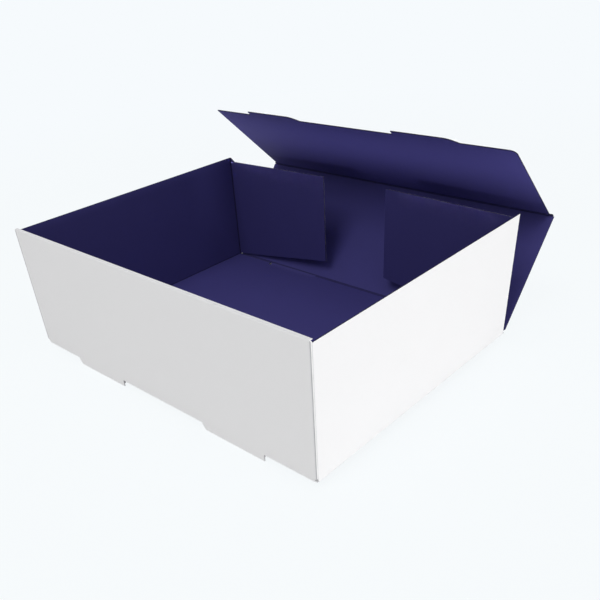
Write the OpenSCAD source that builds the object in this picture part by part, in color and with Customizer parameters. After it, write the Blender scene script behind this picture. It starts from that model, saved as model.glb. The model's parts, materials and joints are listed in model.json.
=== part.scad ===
// Self-locking tray box: one die-cut sheet with rolled-over ends.
// The front end is rolled over and locked, the rear end stands open.
// X runs across the tray, +Y to the rear, +Z up.
// The origin is the centre of the floor's underside.

/* [Tray] */
// Width across the outsides of the side walls
tray_w = 310; // [280:1:380]
// Length from the front wall's outside to the rear wall's outside when it is shut
tray_l = 240; // [200:1:320]
// Height of the side walls above the floor's underside
wall_h = 100; // [80:1:130]
// How far the rolled ends stand above the side walls
ridge_rise = 2; // [1.5:0.1:4]
// Bevel on the lower corners of the end walls
corner_bevel = 3; // [1:0.5:5]

/* [Board] */
// Thickness of the board
board_t = 0.8; // [0.6:0.05:1.2]
// Clearance between two layers of board that lie together
layer_gap = 0.15; // [0.1:0.05:0.3]
// Clearance at a crease that moves
crease_gap = 0.25; // [0.2:0.05:0.4]
// Width of a cut between a foot and the slot that it leaves
kerf = 0.25; // [0.2:0.05:0.4]

/* [Dust flaps] */
// Length of a dust flap from its crease
dust_len = 120; // [90:1:130]
// How far the flap's top edge lies below the side wall's top
dust_drop = 3.5; // [3:0.1:6]
// Length of the sloping start of the top edge
dust_notch = 5; // [3:0.5:10]
// How far the top edge climbs again towards the free end
dust_climb = 2.5; // [0:0.1:3]
// Height of the bottom edge above the floor's underside at the crease
dust_low = 1.4; // [1.3:0.1:3]
// How far the bottom edge climbs towards the free end
dust_taper = 18; // [0:1:25]

/* [Rolled ends] */
// How far the ridge stops short of the tray's outside at each end
ridge_inset = 1; // [0.5:0.1:2]
// How far the inner panel stops short of the tray's outside at each end
roll_inset = 4; // [3.5:0.1:8]
// Radius of the rounded free corner of the inner panel
roll_corner_r = 5; // [2:0.5:8]
// Clearance between the locked inner panel and the floor
roll_seat = 0.2; // [0.1:0.05:0.5]

/* [Locks] */
// Distance from the tray's outside to a lock tab and its slot
lock_from_side = 46.5; // [35:0.5:60]
// Width of a lock tab and its slot
lock_w = 62; // [40:1:70]
// How much a lock tab is narrower than its slot at each end
tab_play = 1.5; // [1.5:0.1:4]
// Length of a lock tab
tab_len = 4.6; // [3:0.1:5]
// Width of the sloping shoulder of a lock tab
tab_shoulder = 13; // [6:0.5:18]
// Length of a foot, which is the tongue cut out of the lock slot
foot_len = 5.4; // [4:0.1:7]
// Width of the sloping shoulder of a foot
foot_shoulder = 5; // [3:0.5:8]

/* [Open end] */
// How far the rear wall leans back from upright
rear_lean = 39; // [30:1:60]
// How far the roll-over is folded in from the rear wall's own plane
roll_fold = 88; // [60:1:100]

/* [Hidden] */
$fn = 32;
NAVY = [0.16, 0.15, 0.33];
CURVE_STEPS = 6;

half_w = tray_w / 2;
half_l = tray_l / 2;
half_t = board_t / 2;
// Height of the rolled ends above the floor's underside
ridge_h = wall_h + ridge_rise;
// A rolled end holds three layers: outer wall, dust flap and inner panel
dust_y = board_t + layer_gap;
ridge_w = 2 * dust_y + board_t;
inner_h = ridge_h - 2 * board_t - roll_seat;
// Where the side walls end at the locked end, and the floor and side walls at the open end
side_end_y = half_l - dust_y - board_t;
inner_y = side_end_y - layer_gap;
rear_crease_y = half_l - half_t;
floor_rear_y = rear_crease_y - half_t - crease_gap;
flap_crease_x = half_w - board_t - crease_gap;
flap_crease_y = half_l - 2 * board_t - crease_gap;
side_rear_y = flap_crease_y - crease_gap;
// Lengths of an end wall, of a ridge and of an inner panel from the middle of each crease
end_wall_len = ridge_h - board_t;
ridge_step = ridge_w - board_t;
roll_len = inner_h + half_t;
// Where the locks start along X, and the stretches of an end crease between the feet
lock_x = [-half_w + lock_from_side, half_w - lock_from_side - lock_w];
crease_runs = [
    [-half_w + corner_bevel, lock_x[0] - kerf / 2],
    [lock_x[0] + lock_w + kerf / 2, lock_x[1] - kerf / 2],
    [lock_x[1] + lock_w + kerf / 2, half_w - corner_bevel]
];

function flip_x(points) = [for (p = points) [-p[0], p[1]]];
function flip_y(points) = [for (p = points) [p[0], -p[1]]];
function lift(points, h) = [for (p = points) [p[0], p[1] + h]];

// A tongue that stands len out of the base line: a square shoulder at low x,
// and a sloping one at high x that leaves the tip smoothly and meets the base at a corner
function tongue(x, w, len, slope) = concat(
    [[x, 0], [x, len]],
    [
        for (i = [0:CURVE_STEPS])
            let (s = i / CURVE_STEPS)
            [x + w - slope * (1 - s), len * cos(90 * s)]
    ]
);

// Outline of an end wall, with heights from the middle of its bottom crease:
// its lower edge at base, its feet below and its top at h
function end_wall_outline(base, h) = concat(
    [[-half_w, h], [-half_w, base + corner_bevel], [-half_w + corner_bevel, base]],
    [
        for (x = lock_x)
            each lift(flip_y(tongue(x, lock_w, foot_len + base, foot_shoulder)), base)
    ],
    [[half_w - corner_bevel, base], [half_w, base + corner_bevel], [half_w, h]]
);

// Outline of an inner panel: its root at 0, its free edge at h and its lock tabs beyond
function inner_outline(h) = concat(
    [[-half_w + roll_inset, 0], [-half_w + roll_inset, h]],
    [
        for (x = lock_x)
            each lift(tongue(x + tab_play, lock_w - 2 * tab_play, tab_len, tab_shoulder), h)
    ],
    [
        for (i = [0:CURVE_STEPS])
            let (a = 90 - 90 * i / CURVE_STEPS)
            [
                half_w - roll_inset - roll_corner_r * (1 - cos(a)),
                h - roll_corner_r * (1 - sin(a))
            ]
    ],
    [[half_w - roll_inset, 0]]
);

// Outline of a dust flap: its crease at x = 0, its free end at high x
function dust_outline() = [
    [0, dust_low],
    [dust_len, dust_low + dust_taper],
    [dust_len, wall_h - dust_drop + dust_climb],
    [dust_notch, wall_h - dust_drop],
    [0, wall_h - layer_gap]
];

// A flat panel of board
module sheet(points, centred = false) {
    linear_extrude(board_t, center = centred)
        polygon(points);
}

// Lays an XZ outline with its outer face at y, the board to the inside
module facing_rear(y) {
    translate([0, y, 0])
        rotate([90, 0, 0])
            children();
}

// Lays a YZ outline from x towards high x
module along_x(x) {
    translate([x, 0, 0])
        rotate([90, 0, 90])
            children();
}

// The outside of a folded crease: a quarter rod, turned to one of four quadrants
module bend(len, quadrant) {
    rotate([0, 0, 90 * quadrant])
        intersection() {
            cylinder(r = board_t, h = len);
            cube([2 * board_t, 2 * board_t, len]);
        }
}

// A bend that runs across the tray between two x places
module bend_across(run, y, z, quadrant) {
    translate([run[0], y, z])
        rotate([90, 0, 90])
            bend(run[1] - run[0], quadrant);
}

// The slots that the feet leave, a kerf wider at the square end and two at the sloping end
module lock_slots() {
    for (x = lock_x)
        translate([0, rear_crease_y, -board_t])
            linear_extrude(3 * board_t)
                polygon(flip_y(tongue(x - kerf, lock_w + 3 * kerf, foot_len + kerf, foot_shoulder)));
}

module floor_panel() {
    difference() {
        translate([-half_w + board_t, -half_l + board_t, 0])
            cube([tray_w - 2 * board_t, floor_rear_y + half_l - board_t, board_t]);
        lock_slots();
        rotate([0, 0, 180])
            lock_slots();
    }
}

module side_wall() {
    along_x(half_w - board_t)
        sheet([
            [-side_end_y, board_t],
            [side_rear_y, board_t],
            [side_rear_y, wall_h],
            [-side_end_y, wall_h]
        ]);
    translate([half_w - board_t, side_rear_y, board_t])
        rotate([90, 0, 0])
            bend(side_rear_y + side_end_y, 3);
}

// The dust flap on the high x side of the locked end, caught between the other two layers
module trapped_dust_flap() {
    translate([half_w - board_t, side_end_y, 0]) {
        translate([0, board_t, 0])
            rotate([90, 0, 0])
                sheet(flip_x(dust_outline()));
        translate([0, 0, dust_low])
            bend(wall_h - layer_gap - dust_low, 0);
    }
}

// A rolled and locked end, drawn at the rear
module locked_end() {
    ridge_run = [-half_w + ridge_inset, half_w - ridge_inset];
    facing_rear(half_l)
        sheet(lift(end_wall_outline(half_t, end_wall_len - half_t), half_t));
    for (run = crease_runs)
        bend_across(run, half_l - board_t, board_t, 3);
    bend_across(ridge_run, half_l - board_t, ridge_h - board_t, 0);
    along_x(ridge_run[0])
        linear_extrude(ridge_run[1] - ridge_run[0])
            polygon([
                [inner_y, ridge_h - board_t],
                [half_l - board_t, ridge_h - board_t],
                [half_l - board_t, ridge_h],
                [inner_y, ridge_h]
            ]);
    bend_across(ridge_run, inner_y, ridge_h - board_t, 1);
    facing_rear(inner_y)
        sheet(lift(flip_y(inner_outline(inner_h)), ridge_h - board_t));
    trapped_dust_flap();
    mirror([1, 0, 0])
        trapped_dust_flap();
}

// Floor, side walls and the locked front end, folded from one sheet
module tray() {
    color(NAVY) {
        floor_panel();
        side_wall();
        mirror([1, 0, 0])
            side_wall();
        rotate([0, 0, 180])
            locked_end();
    }
}

// Places what hangs on the rear crease of the floor
module at_rear_crease() {
    translate([0, rear_crease_y, half_t])
        rotate([-rear_lean, 0, 0])
            children();
}

// The round root of a panel along a crease that moves
module crease_root(run) {
    along_x(run[0])
        cylinder(r = half_t, h = run[1] - run[0]);
}

module rear_wall() {
    color(NAVY)
        at_rear_crease() {
            facing_rear(0)
                sheet(end_wall_outline(0, end_wall_len - half_t - crease_gap), true);
            for (run = crease_runs)
                crease_root(run);
        }
}

module rear_rollover() {
    color(NAVY)
        at_rear_crease()
            translate([0, 0, end_wall_len])
                rotate([roll_fold, 0, 0]) {
                    facing_rear(0)
                        sheet(concat(
                            [[half_w - ridge_inset, ridge_step], [half_w - ridge_inset, 0]],
                            [[-half_w + ridge_inset, 0], [-half_w + ridge_inset, ridge_step]],
                            lift(inner_outline(roll_len), ridge_step)
                        ), true);
                    crease_root([-half_w + ridge_inset, half_w - ridge_inset]);
                }
}

// A free dust flap, folded in behind the open end
module right_dust_flap() {
    color(NAVY)
        translate([flap_crease_x, flap_crease_y, 0]) {
            translate([0, board_t, 0])
                rotate([90, 0, 0])
                    sheet(flip_x(dust_outline()));
            translate([0, 0, dust_low])
                bend(wall_h - layer_gap - dust_low, 0);
        }
}

module left_dust_flap() {
    mirror([1, 0, 0])
        right_dust_flap();
}

tray();
rear_wall();
rear_rollover();
left_dust_flap();
right_dust_flap();
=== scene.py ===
# %% [markdown]
# # A folded tray box, dressed for its portrait
# The real object is one die-cut sheet of board, white outside and navy inside.
# Its front end is rolled over and locked, and its rear end still stands open.
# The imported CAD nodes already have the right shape, so they stay.
# What Blender adds is the finish of the board and the paper that bridges each crease.

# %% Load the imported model
import json
import math

import bpy
import bmesh
from mathutils import Matrix, Vector


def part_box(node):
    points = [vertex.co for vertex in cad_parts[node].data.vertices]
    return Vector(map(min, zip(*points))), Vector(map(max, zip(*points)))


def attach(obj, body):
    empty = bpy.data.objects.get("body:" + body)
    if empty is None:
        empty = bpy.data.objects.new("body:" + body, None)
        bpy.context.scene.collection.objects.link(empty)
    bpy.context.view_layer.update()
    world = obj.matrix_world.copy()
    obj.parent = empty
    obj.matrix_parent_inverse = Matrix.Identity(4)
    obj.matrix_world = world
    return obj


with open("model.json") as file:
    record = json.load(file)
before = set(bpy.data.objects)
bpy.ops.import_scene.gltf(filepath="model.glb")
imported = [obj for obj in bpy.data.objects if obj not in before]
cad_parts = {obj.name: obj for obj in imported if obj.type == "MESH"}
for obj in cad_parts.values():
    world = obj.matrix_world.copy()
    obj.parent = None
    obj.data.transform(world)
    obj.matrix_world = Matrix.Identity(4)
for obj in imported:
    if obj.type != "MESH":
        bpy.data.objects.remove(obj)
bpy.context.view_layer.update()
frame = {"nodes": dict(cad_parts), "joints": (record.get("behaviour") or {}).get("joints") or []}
bpy.ops.object.select_all(action="DESELECT")
joints = {joint["name"]: joint for joint in frame["joints"]}
print("nodes:", sorted(frame["nodes"]))

# %% [markdown]
# ## Measures
# A folded box is easy to read from its own parts, so most places are measured
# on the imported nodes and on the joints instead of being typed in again.
# Only the board's thickness, its clearances, the lock slots and the small trims are
# written as numbers, in the real size in metres.

# %% Measure the board, the walls and the creases
MM = 0.001
BOARD = 0.8 * MM
CREASE_GAP = 0.25 * MM
LAYER_GAP = 0.15 * MM
LINER = 0.06 * MM
HAIR = 0.05 * MM
RIDGE_RISE = 2 * MM

tray_low, tray_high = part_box("tray")
half_w = tray_high.x
front_y = tray_low.y
side_rear_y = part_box("right_dust_flap")[0].y - CREASE_GAP
ridge_h = tray_high.z
wall_h = ridge_h - RIDGE_RISE
wall_hinge = Vector(joints["rear_wall_hinge"]["pos_m"])
roll_hinge = Vector(joints["rear_rollover_hinge"]["pos_m"])
rear_lean = -math.radians(joints["rear_wall_hinge"]["range_deg"][0])
roll_fold = -math.radians(joints["rear_rollover_hinge"]["range_deg"][0])
floor_rear_y = wall_hinge.y - BOARD / 2 - CREASE_GAP
inner_face_y = front_y + 3 * BOARD + 2 * LAYER_GAP
print("rear wall leans", round(math.degrees(rear_lean), 1), "and its roll-over folds",
      round(math.degrees(roll_fold), 1))

# %% [markdown]
# ## Node helpers
# A material is a small machine of nodes. These helpers add one node, set its plain
# values and join its inputs, so that each material below reads as a short recipe.


# %% Helpers that add and join shader nodes
def add_node(tree, kind, values=None, links=None, **settings):
    node = tree.nodes.new(kind)
    for key, value in settings.items():
        setattr(node, key, value)
    for key, value in (values or {}).items():
        node.inputs[key].default_value = value
    for key, socket in (links or {}).items():
        tree.links.new(socket, node.inputs[key])
    return node


def object_place(tree):
    return add_node(tree, "ShaderNodeTexCoord").outputs["Object"]


def along_direction(tree, socket, direction):
    return add_node(
        tree, "ShaderNodeVectorMath", operation="DOT_PRODUCT",
        values={1: direction}, links={0: socket},
    ).outputs["Value"]


def maths(tree, operation, first, second=None, third=None):
    node = tree.nodes.new("ShaderNodeMath")
    node.operation = operation
    for index, value in enumerate((first, second, third)):
        if isinstance(value, (int, float)):
            node.inputs[index].default_value = value
        elif value is not None:
            tree.links.new(value, node.inputs[index])
    return node.outputs[0]


def joined(tree, operation, values):
    total = values[0]
    for value in values[1:]:
        total = maths(tree, operation, total, value)
    return total


def all_of(tree, *masks):
    return joined(tree, "MULTIPLY", masks)


def any_of(tree, *masks):
    return joined(tree, "MAXIMUM", masks)


def distance_to(tree, value, target):
    return maths(tree, "ABSOLUTE", maths(tree, "SUBTRACT", value, target))


def new_group(name, inputs, outputs):
    group = bpy.data.node_groups.new(name, "ShaderNodeTree")
    for label, kind, value in inputs:
        socket = group.interface.new_socket(label, in_out="INPUT", socket_type=kind)
        socket.default_value = value
    for label, kind in outputs:
        group.interface.new_socket(label, in_out="OUTPUT", socket_type=kind)
    return group, group.nodes.new("NodeGroupInput"), group.nodes.new("NodeGroupOutput")


def place_group(tree, group, values=None, links=None):
    node = tree.nodes.new("ShaderNodeGroup")
    node.node_tree = group
    for key, value in (values or {}).items():
        node.inputs[key].default_value = value
    for key, socket in (links or {}).items():
        tree.links.new(socket, node.inputs[key])
    return node


def linear(red, green, blue):
    def convert(channel):
        share = channel / 255
        return share / 12.92 if share <= 0.04045 else ((share + 0.055) / 1.055) ** 2.4
    return (convert(red), convert(green), convert(blue), 1)


# %% [markdown]
# ## Paper, as a shared effect
# Board is pressed from fibres. Seen close it has a fine tooth with a direction,
# and seen from further off the ink and the liner are very slightly cloudy.
# One node group makes both, because the navy face, the white face and the cut edge
# all need them, each with its own strength.

# %% Node group: paper tone
FLOAT = "NodeSocketFloat"
COLOUR = "NodeSocketColor"
VECTOR = "NodeSocketVector"
FIBRE_SCALE = 1500.0
CLOUD_SCALE = 38.0
FIBRE_STRETCH = (0.35, 1.0, 0.8)
MIDDLE = 0.5

paper, source, result = new_group(
    "paper_tone",
    [("Colour", COLOUR, (0.5, 0.5, 0.5, 1)), ("Cloud", FLOAT, 0.05), ("Fibre", FLOAT, 0.05)],
    [("Colour", COLOUR), ("Height", FLOAT), ("Unevenness", FLOAT)],
)
place = object_place(paper)
lengthwise = add_node(
    paper, "ShaderNodeVectorMath", operation="MULTIPLY",
    values={1: FIBRE_STRETCH}, links={0: place},
).outputs[0]
fibres = add_node(
    paper, "ShaderNodeTexNoise",
    values={"Scale": FIBRE_SCALE, "Detail": 4.0, "Roughness": 0.62},
    links={"Vector": lengthwise},
).outputs["Fac"]
clouds = add_node(
    paper, "ShaderNodeTexNoise",
    values={"Scale": CLOUD_SCALE, "Detail": 3.0, "Roughness": 0.5}, links={"Vector": place},
).outputs["Fac"]
cloud_part = maths(
    paper, "MULTIPLY", maths(paper, "SUBTRACT", clouds, MIDDLE), source.outputs["Cloud"]
)
fibre_part = maths(
    paper, "MULTIPLY", maths(paper, "SUBTRACT", fibres, MIDDLE), source.outputs["Fibre"]
)
brightness = maths(paper, "ADD", maths(paper, "ADD", cloud_part, fibre_part), 1.0)
toned = add_node(
    paper, "ShaderNodeVectorMath", operation="SCALE",
    links={0: source.outputs["Colour"], "Scale": brightness},
).outputs[0]
paper.links.new(toned, result.inputs["Colour"])
paper.links.new(fibres, result.inputs["Height"])
paper.links.new(clouds, result.inputs["Unevenness"])
print("group made:", paper.name)

# %% [markdown]
# ## Which side of the sheet is this?
# The sheet is printed on one side only. On a flat panel the white liner is the skin
# on the outer side, so a point is white when it lies far enough out along the panel's
# outward direction. This group measures that, and works on panels at any angle.

# %% Node group: outer side
side, source, result = new_group(
    "outer_side",
    [("Outward", VECTOR, (0, 0, -1)), ("Starts At", FLOAT, 0.0)],
    [("Mask", FLOAT)],
)
reach = add_node(
    side, "ShaderNodeVectorMath", operation="DOT_PRODUCT",
    links={0: object_place(side), 1: source.outputs["Outward"]},
).outputs["Value"]
side.links.new(
    maths(side, "GREATER_THAN", reach, source.outputs["Starts At"]), result.inputs["Mask"]
)
print("group made:", side.name)

# %% [markdown]
# ## A painted line of shade along each fold
# A crease is pressed in with a steel rule before the sheet is cut. This group turns a distance
# from the fold into a soft dark line that wanders a little in strength: painted crease shade.

# %% Node group: fold line
WANDER_SCALE = 160.0
WANDER_RANGE, FAINTEST = 0.5, 0.6
fold, source, result = new_group(
    "fold_line",
    [("Distance", FLOAT, 1.0), ("Width", FLOAT, 0.0006)],
    [("Mask", FLOAT)],
)
wander = add_node(
    fold, "ShaderNodeTexNoise", values={"Scale": WANDER_SCALE, "Detail": 2.0},
    links={"Vector": object_place(fold)},
).outputs["Fac"]
near = add_node(
    fold, "ShaderNodeMapRange", interpolation_type="SMOOTHSTEP",
    values={"From Min": 0.0, "To Min": 1.0, "To Max": 0.0},
    links={"Value": source.outputs["Distance"], "From Max": source.outputs["Width"]},
).outputs["Result"]
strength = maths(fold, "MULTIPLY_ADD", wander, WANDER_RANGE, FAINTEST)
fold.links.new(maths(fold, "MULTIPLY", near, strength), result.inputs["Mask"])
print("group made:", fold.name)

# %% [markdown]
# ## The board material
# Every panel is the same board, so one function builds its material. It is given masks:
# where the white liner shows, where a dark line of painted crease shade runs beside a fold,
# where the board is cut, and where grey painted shade lies on the white liner. It is also given
# a navy, because the rear wall and roll-over wear a lighter one as painted light and the dust
# flaps a darker one as painted shade.
# Navy ink on board is almost matte. The white liner is clay-coated, so it is smoother.

# %% Build the board material for one node
NAVY = linear(59, 56, 112)
# A lighter navy, as painted light, for the rear wall and the roll-over.
NAVY_PAINTED_LIGHT = linear(62, 59, 117)
# A darker navy, as painted shade, for the dust flaps.
NAVY_PAINTED_SHADE = linear(56, 53, 107)
# A darker navy for painted crease shade along the folds and on the crease strips.
PAINTED_CREASE_SHADE = linear(28, 26, 60)
CUT = linear(24, 21, 46)
WHITE = linear(246, 246, 247)
# A grey for painted shade on the white liner at folds, the front corner, the foot of the side
# walls and the ridge top.
PAINTED_SHADE_WHITE = linear(186, 186, 191)
INK_TOOTH = {"Cloud": 0.10, "Fibre": 0.16}
PULP_TOOTH = {"Cloud": 0.05, "Fibre": 0.60}
LINER_TOOTH = {"Cloud": 0.012, "Fibre": 0.02}
INK_ROUGHNESS = 0.62
ROUGHNESS_RANGE = 0.16
LINER_SMOOTHER = -0.12
TOOTH_DEPTH = 0.06 * MM
TOOTH_STRENGTH = 0.35


def blend_colour(tree, mask, base, over):
    """Where the mask is 1, over replaces base."""
    node = add_node(tree, "ShaderNodeMix", data_type="RGBA", links={0: mask})
    for socket, colour in ((node.inputs[6], base), (node.inputs[7], over)):
        if isinstance(colour, tuple):
            socket.default_value = colour
        else:
            tree.links.new(colour, socket)
    return node.outputs[2]


def board_material(name, white_mask, fold_mask, cut_mask, painted_shade_mask=None, navy=NAVY):
    material = bpy.data.materials.new(name)
    material.use_nodes = True
    tree = material.node_tree
    tree.nodes.clear()
    ink = place_group(tree, paper, {"Colour": navy, **INK_TOOTH})
    pulp = place_group(tree, paper, {"Colour": CUT, **PULP_TOOTH})
    liner = place_group(tree, paper, {"Colour": WHITE, **LINER_TOOTH})
    white = white_mask(tree)
    # A dark line of painted crease shade along each fold.
    colour = blend_colour(tree, fold_mask(tree), ink.outputs["Colour"], PAINTED_CREASE_SHADE)
    colour = blend_colour(tree, cut_mask(tree), colour, pulp.outputs["Colour"])
    coated = liner.outputs["Colour"]
    # Grey painted shade on the white liner.
    if painted_shade_mask:
        coated = blend_colour(tree, painted_shade_mask(tree), coated, PAINTED_SHADE_WHITE)
    colour = blend_colour(tree, white, colour, coated)
    uneven = maths(
        tree, "MULTIPLY_ADD", ink.outputs["Unevenness"], ROUGHNESS_RANGE, INK_ROUGHNESS
    )
    roughness = maths(tree, "MULTIPLY_ADD", white, LINER_SMOOTHER, uneven)
    bump = add_node(
        tree, "ShaderNodeBump",
        values={"Strength": TOOTH_STRENGTH, "Distance": TOOTH_DEPTH},
        links={"Height": ink.outputs["Height"]},
    )
    shader = add_node(
        tree, "ShaderNodeBsdfPrincipled",
        values={"Specular IOR Level": 0.15, "IOR": 1.46},
        links={"Base Color": colour, "Roughness": roughness,
               "Normal": bump.outputs["Normal"]},
    )
    add_node(tree, "ShaderNodeOutputMaterial", links={"Surface": shader.outputs["BSDF"]})
    return material


def dress(node, material):
    slots = frame["nodes"][node].material_slots
    for slot in slots:
        slot.material = material
    print(node, "wears", material.name, "in", len(slots), "slot(s)")


# %% [markdown]
# ## The tray: floor, side walls and locked front
# Seen from outside the tray is white all round. The rolled front end turns the white side
# in over the ridge, so the inner panel's visible face is white too. Navy shows on the floor,
# inside the side walls and on every cut edge, because the pulp is dyed under the liner.
# Each region is picked out by its place and by the way its surface faces.


# %% Masks for the tray
FACING = 0.5
CORNER_CLEAR = 4 * MM
SLOT_CLEAR = 20 * MM
ROLL_CLEAR = 3 * MM


def split(tree, socket):
    parts = add_node(tree, "ShaderNodeSeparateXYZ", links={0: socket})
    return parts.outputs["X"], parts.outputs["Y"], parts.outputs["Z"]


def at(tree, value, target):
    return maths(tree, "COMPARE", value, target, HAIR)


def above(tree, value, limit):
    return maths(tree, "GREATER_THAN", value, limit)


def below(tree, value, limit):
    return maths(tree, "LESS_THAN", value, limit)


def tray_places(tree):
    where = add_node(tree, "ShaderNodeTexCoord")
    x, y, z = split(tree, where.outputs["Object"])
    across, along, up = split(tree, where.outputs["Normal"])
    return maths(tree, "ABSOLUTE", x), y, z, maths(tree, "ABSOLUTE", across), along, up


def tray_regions(tree):
    x, y, z, across, along, up = tray_places(tree)
    skin_x = half_w - LINER
    indoors = any_of(
        tree, below(tree, x, half_w - CORNER_CLEAR), above(tree, y, front_y + CORNER_CLEAR)
    )
    floor_top = all_of(tree, at(tree, z, BOARD), above(tree, up, FACING), indoors)
    wall_inside = all_of(
        tree, at(tree, x, half_w - BOARD), above(tree, across, FACING), above(tree, z, BOARD)
    )
    foot_back = all_of(tree, below(tree, z, -HAIR), above(tree, along, FACING))
    wall_top = all_of(
        tree, at(tree, z, wall_h), above(tree, up, FACING), below(tree, x, skin_x)
    )
    wall_end = all_of(
        tree, at(tree, y, side_rear_y), above(tree, along, FACING), below(tree, x, skin_x)
    )
    floor_end = all_of(
        tree, at(tree, y, floor_rear_y), above(tree, along, FACING), above(tree, z, LINER)
    )
    slot_side = all_of(
        tree, above(tree, z, LINER), below(tree, z, BOARD - HAIR),
        below(tree, x, half_w - SLOT_CLEAR),
        above(tree, y, front_y + BOARD + HAIR), below(tree, y, floor_rear_y - HAIR),
    )
    roll_edge = all_of(
        tree, above(tree, across, FACING), below(tree, x, half_w - ROLL_CLEAR),
        above(tree, z, BOARD + HAIR), below(tree, y, inner_face_y - LINER),
    )
    printed = any_of(tree, floor_top, wall_inside, foot_back)
    cut = any_of(tree, wall_top, wall_end, floor_end, slot_side, roll_edge)
    return printed, cut


def tray_white(tree):
    return maths(tree, "SUBTRACT", 1.0, any_of(tree, *tray_regions(tree)))


def tray_cut(tree):
    return tray_regions(tree)[1]


def crease_line(tree, width, distance):
    line = place_group(tree, fold, {"Width": width}, {"Distance": distance})
    return line.outputs["Mask"]


# %% Lines of painted shade along the tray's folds, front corner and ridge
TRAY_FOLD = 1.2 * MM
CORNER_SHADE_WIDTH = 0.9 * MM
CORNER_SHADE_INSET = 0.6 * MM
BOTTOM_SHADE_WIDTH = 0.8 * MM
RIDGE_SKIN = 0.5 * MM
RIDGE_PAINTED_SHADE = 0.35


# Dark lines of painted crease shade along the tray's folds.
def tray_folds(tree):
    x, y, z = tray_places(tree)[:3]
    bottom_fold = maths(
        tree, "MAXIMUM", distance_to(tree, x, half_w - BOARD), distance_to(tree, z, BOARD)
    )
    nearest = maths(tree, "MINIMUM", bottom_fold, distance_to(tree, y, side_rear_y))
    return crease_line(tree, TRAY_FOLD, nearest)


# Grey painted shade on the white liner: a line up the front corner, a line along the foot of
# each side wall, and a lighter grey on the ridge top.
def tray_painted_shade(tree):
    x, _, z, across, along, up = tray_places(tree)
    corner = crease_line(tree, CORNER_SHADE_WIDTH, distance_to(tree, x, half_w - CORNER_SHADE_INSET))
    bottom = crease_line(tree, BOTTOM_SHADE_WIDTH, z)
    ridge_top = all_of(tree, above(tree, z, ridge_h - RIDGE_SKIN), above(tree, up, FACING))
    return any_of(
        tree,
        maths(tree, "MULTIPLY", ridge_top, RIDGE_PAINTED_SHADE),
        all_of(tree, corner, below(tree, along, -FACING)),
        all_of(tree, bottom, above(tree, across, FACING)),
    )


dress("tray", board_material("tray_board", tray_white, tray_folds, tray_cut, tray_painted_shade))

# %% [markdown]
# ## The rear wall and its roll-over
# Both are flat panels at an angle. Turning the outward direction by the same angle as
# the panel is all that the mask needs: the white liner is the outermost few hundredths
# of a millimetre. Both wear a lighter navy than the floor, as painted light, with a dark line
# of painted crease shade and a grey line of painted shade on the white side at each fold.


# %% Masks for a tilted panel
def panel_outward(turn):
    return Vector((0, math.cos(turn), -math.sin(turn)))


def tilted_white(outward, point):
    def build(tree):
        starts_at = outward.dot(point) + BOARD / 2 - LINER
        return place_group(
            tree, side, {"Outward": outward, "Starts At": starts_at}
        ).outputs["Mask"]
    return build


def tilted_fold(along, point, places, width=1.0 * MM):
    def build(tree):
        reach = along_direction(tree, object_place(tree), along)
        gaps = [distance_to(tree, reach, along.dot(point) + place) for place in places]
        return crease_line(tree, width, joined(tree, "MINIMUM", gaps))
    return build


def edge_on(outward):
    def build(tree):
        facing = add_node(tree, "ShaderNodeTexCoord").outputs["Normal"]
        square_on = along_direction(tree, facing, outward)
        return below(tree, maths(tree, "ABSOLUTE", square_on), FACING)
    return build


wall_up = Vector((0, math.sin(rear_lean), math.cos(rear_lean)))
wall_out = panel_outward(rear_lean)
roll_up = Vector((0, math.sin(rear_lean - roll_fold), math.cos(rear_lean - roll_fold)))
roll_out = panel_outward(rear_lean - roll_fold)
wall_len = (roll_hinge - wall_hinge).length
ridge_step = 1.9 * MM
wall_folds = [0.4 * MM, wall_len - 0.6 * MM]
roll_folds = [0, ridge_step]
SHADE_LINE_WIDTH = 0.7 * MM
dress("rear_wall", board_material(
    "rear_wall_board",
    tilted_white(wall_out, wall_hinge),
    tilted_fold(wall_up, wall_hinge, wall_folds),
    edge_on(wall_out),
    tilted_fold(wall_up, wall_hinge, wall_folds, SHADE_LINE_WIDTH),
    navy=NAVY_PAINTED_LIGHT,
))
dress("rear_rollover", board_material(
    "rollover_board",
    tilted_white(roll_out, roll_hinge),
    tilted_fold(roll_up, roll_hinge, roll_folds),
    edge_on(roll_out),
    tilted_fold(roll_up, roll_hinge, roll_folds, SHADE_LINE_WIDTH),
    navy=NAVY_PAINTED_LIGHT,
))

# %% [markdown]
# ## The two free dust flaps
# They stand in the shade behind the open end, and their navy is a darker one, as painted shade.
# Their white side faces the rear, and their fold is the upright edge beside the side wall,
# marked by a dark line of painted crease shade.


# %% Masks for a dust flap
REARWARD = Vector((0, 1, 0))
FLAP_FOLD = 1.6 * MM


def flap_white(node):
    rear_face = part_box(node)[1].y

    def build(tree):
        return place_group(
            tree, side, {"Outward": REARWARD, "Starts At": rear_face - LINER}
        ).outputs["Mask"]
    return build


def flap_fold(tree):
    x = split(tree, object_place(tree))[0]
    distance = maths(tree, "SUBTRACT", half_w - BOARD, maths(tree, "ABSOLUTE", x))
    return crease_line(tree, FLAP_FOLD, distance)


for flap in ("left_dust_flap", "right_dust_flap"):
    dress(flap, board_material(
        flap + "_board", flap_white(flap), flap_fold, edge_on(REARWARD), navy=NAVY_PAINTED_SHADE
    ))

# %% [markdown]
# ## Paper that bridges the creases
# The CAD model leaves a quarter of a millimetre open at each crease that moves, so that the
# panels can turn. On the real tray that gap is bridged by the crushed board of the crease.
# Each bridge starts as a cube at its size and place, turned with its panel, and its long
# edges are rounded in edit mode. It sits a little below the two faces, as a pressed line does.


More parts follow.
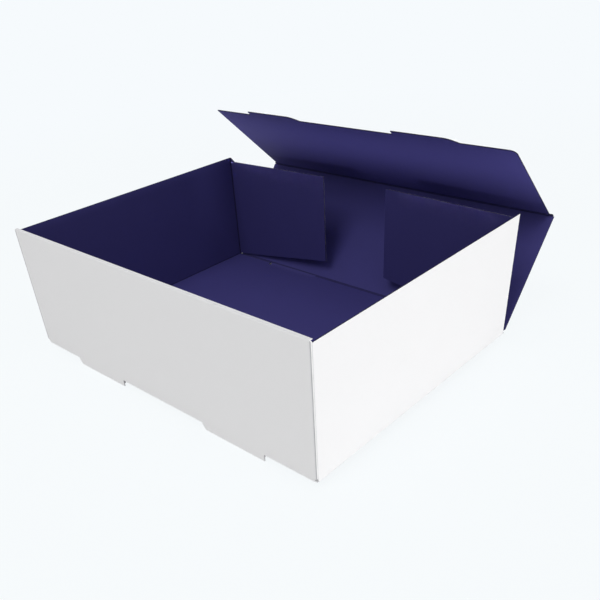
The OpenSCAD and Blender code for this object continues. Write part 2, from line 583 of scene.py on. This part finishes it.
# %% Model a strip of crushed board
def rounded_strip(name, middle, size, turn=(0, 0, 0), radius=0.08 * MM):
    bpy.ops.object.select_all(action="DESELECT")
    bpy.ops.mesh.primitive_cube_add(size=1, location=middle, rotation=turn, scale=size)
    strip = bpy.context.object
    strip.name = name
    bpy.ops.object.transform_apply(location=True, rotation=True, scale=True)
    bpy.ops.object.mode_set(mode="EDIT")
    bpy.ops.mesh.select_mode(type="EDGE")
    bpy.ops.mesh.select_all(action="DESELECT")
    shape = bmesh.from_edit_mesh(strip.data)
    longest = max(edge.calc_length() for edge in shape.edges)
    for edge in shape.edges:
        edge.select_set(edge.calc_length() > 0.9 * longest)
    bmesh.update_edit_mesh(strip.data)
    bpy.ops.mesh.bevel(offset=radius, segments=3, affect="EDGES")
    bpy.ops.object.mode_set(mode="OBJECT")
    bpy.ops.object.shade_smooth_by_angle(angle=math.radians(40))
    strip.select_set(False)
    return strip


def join_strips(name, strips):
    bpy.ops.object.select_all(action="DESELECT")
    for strip in strips:
        strip.select_set(True)
    bpy.context.view_layer.objects.active = strips[0]
    bpy.ops.object.join()
    strips[0].name = name
    strips[0].select_set(False)
    return strips[0]


# %% The crease material
def plain_zero(tree):
    node = add_node(tree, "ShaderNodeValue")
    node.outputs[0].default_value = 0.0
    return node.outputs[0]


# The strips across the creases and the beads wear a darker navy: painted crease shade.
crease_shade_material = board_material("crease_shade_board", plain_zero, plain_zero, plain_zero, navy=PAINTED_CREASE_SHADE)

# %% Bridge the rear crease of the floor
LOCK_STARTS = (-108.5 * MM, 46.5 * MM)
LOCK_WIDTH = 62 * MM
CORNER = 3 * MM
FOOT_GAP = 0.2 * MM
WEB = 0.44 * MM
WEB_REACH = CREASE_GAP + 0.2 * MM

rear_runs = [
    (-half_w + CORNER, LOCK_STARTS[0] - FOOT_GAP),
    (LOCK_STARTS[0] + LOCK_WIDTH + FOOT_GAP, LOCK_STARTS[1] - FOOT_GAP),
    (LOCK_STARTS[1] + LOCK_WIDTH + FOOT_GAP, half_w - CORNER),
]
web_y = floor_rear_y + CREASE_GAP / 2
rear_crease = join_strips("rear_crease_web", [
    rounded_strip(
        f"rear_web_{index}", ((start + end) / 2, web_y, BOARD / 2),
        (end - start, WEB_REACH, WEB),
    )
    for index, (start, end) in enumerate(rear_runs)
])
rear_crease.data.materials.append(crease_shade_material)
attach(rear_crease, "tray")
print(rear_crease.name, "has", len(rear_crease.data.polygons), "faces")

# %% Bridge the fold of the roll-over
roll_low, roll_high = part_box("rear_rollover")
web_middle = roll_hinge - wall_up * (BOARD / 2 + CREASE_GAP / 2)
roll_crease = rounded_strip(
    "rollover_crease_web", (0, web_middle.y, web_middle.z),
    (roll_high.x - roll_low.x - 2 * LINER, WEB, WEB_REACH), turn=(-rear_lean, 0, 0),
)
roll_crease.data.materials.append(crease_shade_material)
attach(roll_crease, "rear_wall")
print(roll_crease.name, "spans", round(roll_crease.dimensions.x, 4), "m")

# %% [markdown]
# ## Paper at the two upright folds
# Each free dust flap hangs on an upright fold at the end of its side wall. The wall's board
# and the flap's board meet there at a right angle, and the crushed board between them
# runs across the corner. So the bridge is a narrow upright strip, turned by half a right angle,
# with a low plug under it where the cut of the flap stops short of the floor.

# %% Bridge the upright folds
UPRIGHT_WIDTH = 0.5 * MM
UPRIGHT_THICKNESS = 0.2 * MM
OUT_OF_CORNER = 0.17 * MM
INTO_CORNER = 0.15 * MM
PLUG_LENGTH = 4 * MM
PLUG_DEPTH = 0.8 * MM
PLUG_BEHIND_WALL = 0.42 * MM
PLUG_SUNK = 0.4 * MM

flap_low, flap_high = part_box("right_dust_flap")
flap_hinge = Vector(joints["right_dust_flap_hinge"]["pos_m"])
plug_top = flap_low.z - HAIR
upright_webs = []
for name, sign in (("left_upright_web", -1), ("right_upright_web", 1)):
    web_x = sign * (flap_hinge.x + OUT_OF_CORNER)
    web = rounded_strip(
        f"{name}_strip",
        (web_x, flap_hinge.y - INTO_CORNER, (flap_low.z + flap_high.z) / 2),
        (UPRIGHT_WIDTH, UPRIGHT_THICKNESS, flap_high.z - flap_low.z - 2 * LINER),
        turn=(0, 0, -sign * math.pi / 4), radius=0.06 * MM,
    )
    plug = rounded_strip(
        f"{name}_plug",
        (sign * (half_w - LINER - PLUG_LENGTH / 2), side_rear_y + PLUG_BEHIND_WALL,
         (BOARD + plug_top) / 2 - PLUG_SUNK / 2),
        (PLUG_LENGTH, PLUG_DEPTH, plug_top - BOARD + PLUG_SUNK), radius=0.15 * MM,
    )
    web = join_strips(name, [web, plug])
    web.data.materials.append(crease_shade_material)
    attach(web, "tray")
    upright_webs.append(web)
print("upright webs:", [web.name for web in upright_webs])

# %% [markdown]
# ## Raised lines on the printed side
# A score pressed into the white side pushes a low round bead up on the navy side.
# It shows along the floor's two side folds and along the second score of the roll-over,
# which makes the flat top of the ridge. Each bead is a strip sunk by more than half
# into the board, so only its rounded back stands proud.

# %% Beads along the folds
BEAD = 0.5 * MM
BEAD_ROUND = 0.16 * MM
BEAD_ENDS = 12 * MM
bead_run = side_rear_y - inner_face_y - 2 * HAIR
floor_beads = join_strips("floor_fold_beads", [
    rounded_strip(
        f"floor_bead_{index}",
        (sign * (half_w - BOARD), (side_rear_y + inner_face_y) / 2, BOARD),
        (BEAD, bead_run, BEAD), turn=(0, math.pi / 4, 0), radius=BEAD_ROUND,
    )
    for index, sign in enumerate((-1, 1))
])
floor_beads.data.materials.append(crease_shade_material)
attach(floor_beads, "tray")

bead_middle = roll_hinge + roll_up * ridge_step - roll_out * (BOARD / 2 - BEAD / 4)
roll_bead = rounded_strip(
    "rollover_score_bead", (0, bead_middle.y, bead_middle.z),
    (roll_high.x - roll_low.x - BEAD_ENDS, BEAD, BEAD),
    turn=(math.pi / 4 - rear_lean + roll_fold, 0, 0), radius=BEAD_ROUND,
)
roll_bead.data.materials.append(crease_shade_material)
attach(roll_bead, "rear_rollover")
print("beads stand on", floor_beads.name, "and", roll_bead.name)

# %% [markdown]
# ## Camera
# The photograph was taken from the front right, about 37 degrees above the table.
# The place, the lens and the small shift come from fitting the tray's corners
# in the picture, with the CAD model's own sizes.

# %% Place the camera
PICTURE = 600
FOCAL_PX = 674.19
CENTRE_PX = (287.68, 434.96)
right = Vector((0.740751, 0.668858, -0.062582))
down = Vector((0.365642, -0.47958, -0.79769))
ahead = Vector((-0.563554, 0.568007, -0.599812))
stands_at = Vector((0.367978, -0.357765, 0.279043))

camera_data = bpy.data.cameras.new("portrait_camera")
camera = bpy.data.objects.new("portrait_camera", camera_data)
bpy.context.scene.collection.objects.link(camera)
turned = Matrix((right, -down, -ahead)).transposed().to_4x4()
turned.translation = stands_at
camera.matrix_world = turned
camera_data.sensor_width = 36
camera_data.lens = FOCAL_PX / PICTURE * camera_data.sensor_width
camera_data.shift_x = 0.5 - CENTRE_PX[0] / PICTURE
camera_data.shift_y = CENTRE_PX[1] / PICTURE - 0.5
camera_data.clip_start = 0.01
camera_data.clip_end = 100
bpy.context.scene.camera = camera
print("lens", round(camera_data.lens, 2), "shift", round(camera_data.shift_x, 4),
      round(camera_data.shift_y, 4))

# %% [markdown]
# ## Floor and air
# The tray stands on a pale floor that runs out into a background of the same colour.
# For the camera alone most of the floor's brightness is its own glow, so the pale tone
# doesn't need more light on the tray. The matte rest keeps a faint shadow near the tray.
# Further off the glow takes over and has the background's colour, so no horizon shows.
# Under the tray the floor is painted darker and has no glow, a painted contact shadow with soft
# edges, or it would shine up through the slots.

# %% The pale floor
PALE = linear(246, 250, 253)
GLOW = linear(249, 253, 255)
GLOW_SHARE = 0.92
UNDERSIDE_INSET = 9 * MM
UNDERSIDE_REAR = 6.5 * MM
UNDERSIDE_FADE = 12 * MM
FOOT_SHELTER = 6 * MM
NEAR, FAR = 0.35, 1.1
PAINTED_SHADOW_TONE, OPEN_TONE = 0.16, 0.80
FLOOR_RADIUS = 30

bpy.ops.object.select_all(action="DESELECT")
bpy.ops.mesh.primitive_circle_add(
    vertices=96, radius=FLOOR_RADIUS, fill_type="NGON", location=(0, 0, tray_low.z)
)
table = bpy.context.object
table.name = "pale_floor"
bpy.ops.object.transform_apply(location=True, rotation=True, scale=True)
table_look = bpy.data.materials.new("pale_floor")
table_look.use_nodes = True
tree = table_look.node_tree
tree.nodes.clear()
matte = add_node(tree, "ShaderNodeBsdfDiffuse")
glow = add_node(tree, "ShaderNodeEmission", values={"Strength": 1.0})
light_path = add_node(tree, "ShaderNodeLightPath")
x, y, _ = split(tree, object_place(tree))


def fades_in(value, start, end):
    return add_node(
        tree, "ShaderNodeMapRange", interpolation_type="SMOOTHSTEP",
        values={"From Min": start, "From Max": end}, links={"Value": value},
    ).outputs["Result"]


def leaves_underside(value, start):
    return fades_in(value, start, start + UNDERSIDE_FADE)


# %% Where the floor glows
across = maths(tree, "ABSOLUTE", x)
forward = maths(tree, "MULTIPLY", y, -1.0)
past_feet = any_of(
    tree,
    below(tree, across, LOCK_STARTS[1] + FOOT_SHELTER),
    above(tree, across, LOCK_STARTS[1] + LOCK_WIDTH - FOOT_SHELTER),
    above(tree, forward, -front_y - BOARD),
)
# The mask is 0 in a soft patch under the tray: a painted contact shadow, with no glow.
outside = any_of(
    tree,
    leaves_underside(across, half_w - UNDERSIDE_INSET - UNDERSIDE_FADE),
    all_of(
        tree, past_feet,
        leaves_underside(forward, -front_y - UNDERSIDE_INSET - UNDERSIDE_FADE),
    ),
    leaves_underside(y, floor_rear_y + UNDERSIDE_REAR),
    add_node(tree, "ShaderNodeNewGeometry").outputs["Backfacing"],
)
# Under the tray the matte is darker: a painted contact shadow.
tone = maths(tree, "MULTIPLY_ADD", outside, OPEN_TONE - PAINTED_SHADOW_TONE, PAINTED_SHADOW_TONE)
tree.links.new(tone, matte.inputs["Color"])
reach = add_node(
    tree, "ShaderNodeVectorMath", operation="LENGTH", links={0: object_place(tree)}
).outputs["Value"]
far_off = fades_in(reach, NEAR, FAR)
tree.links.new(blend_colour(tree, far_off, GLOW, PALE), glow.inputs["Color"])
glow_share = maths(tree, "MULTIPLY_ADD", far_off, 1.0 - GLOW_SHARE, GLOW_SHARE)
mixed = add_node(
    tree, "ShaderNodeMixShader",
    links={0: all_of(tree, light_path.outputs["Is Camera Ray"], outside, glow_share),
           1: matte.outputs["BSDF"], 2: glow.outputs["Emission"]},
)
add_node(tree, "ShaderNodeOutputMaterial", links={"Surface": mixed.outputs["Shader"]})
table.data.materials.append(table_look)
print("floor at", round(tray_low.z, 4), "m, plain from", FAR, "m outwards")

# %% The air: what the camera sees, and what lights the tray
SKY = 0.33
world = bpy.data.worlds.new("studio_air")
bpy.context.scene.world = world
world.use_nodes = True
tree = world.node_tree
tree.nodes.clear()
light_path = add_node(tree, "ShaderNodeLightPath")
seen = any_of(
    tree, light_path.outputs["Is Camera Ray"], light_path.outputs["Is Glossy Ray"],
    light_path.outputs["Is Transmission Ray"],
)
backdrop = add_node(tree, "ShaderNodeBackground", values={"Color": PALE, "Strength": 1.0})
ambient = add_node(tree, "ShaderNodeBackground", values={"Color": (1, 1, 1, 1), "Strength": SKY})
mixed = add_node(
    tree, "ShaderNodeMixShader",
    links={0: seen, 1: ambient.outputs["Background"], 2: backdrop.outputs["Background"]},
)
add_node(tree, "ShaderNodeOutputWorld", links={"Surface": mixed.outputs["Shader"]})
print("air lights the tray at", SKY)

# %% [markdown]
# ## Lamps
# A studio would light such a box with soft boxes. One low at the right makes the right
# wall the brightest face, and two high ones light the floor of the tray and the front.
# One far behind lights the rear, so that the tray reads from every side. A narrow strip
# of light finds the underside of the roll-over, which the others hardly reach.


# %% Soft lamps
def soft_lamp(name, place, target, size, power, spread=180):
    data = bpy.data.lights.new(name, "AREA")
    data.shape = "RECTANGLE"
    data.size, data.size_y = size
    data.energy = power
    data.spread = math.radians(spread)
    lamp = bpy.data.objects.new(name, data)
    bpy.context.scene.collection.objects.link(lamp)
    lamp.location = place
    aim = Vector(target) - Vector(place)
    lamp.rotation_euler = aim.to_track_quat("-Z", "Y").to_euler()
    return lamp


LAMPS = [
    soft_lamp("side_lamp", place=(2.2, 0.1, 0.08), target=(0, 0, 0.05),
              size=(1.4, 0.12), power=17),
    soft_lamp("high_front_lamp", place=(0, -1.06, 1.70), target=(0, 0.05, 0),
              size=(0.9, 0.9), power=14.5),
    soft_lamp("high_side_lamp", place=(1.0, 0, 1.73), target=(0, 0.05, 0),
              size=(1.3, 1.3), power=9),
    soft_lamp("back_lamp", place=(-3.6, 3.8, 1.25), target=(0, 0, 0.05),
              size=(3.2, 1.9), power=46),
    soft_lamp("flap_lamp", place=(0, -1.2, 0.225), target=(0, 0.15, 0.126),
              size=(0.5, 0.03), power=0.06, spread=3),
]
print("lamps:", [lamp.name for lamp in LAMPS])
bpy.context.scene.view_settings.view_transform = "Standard"
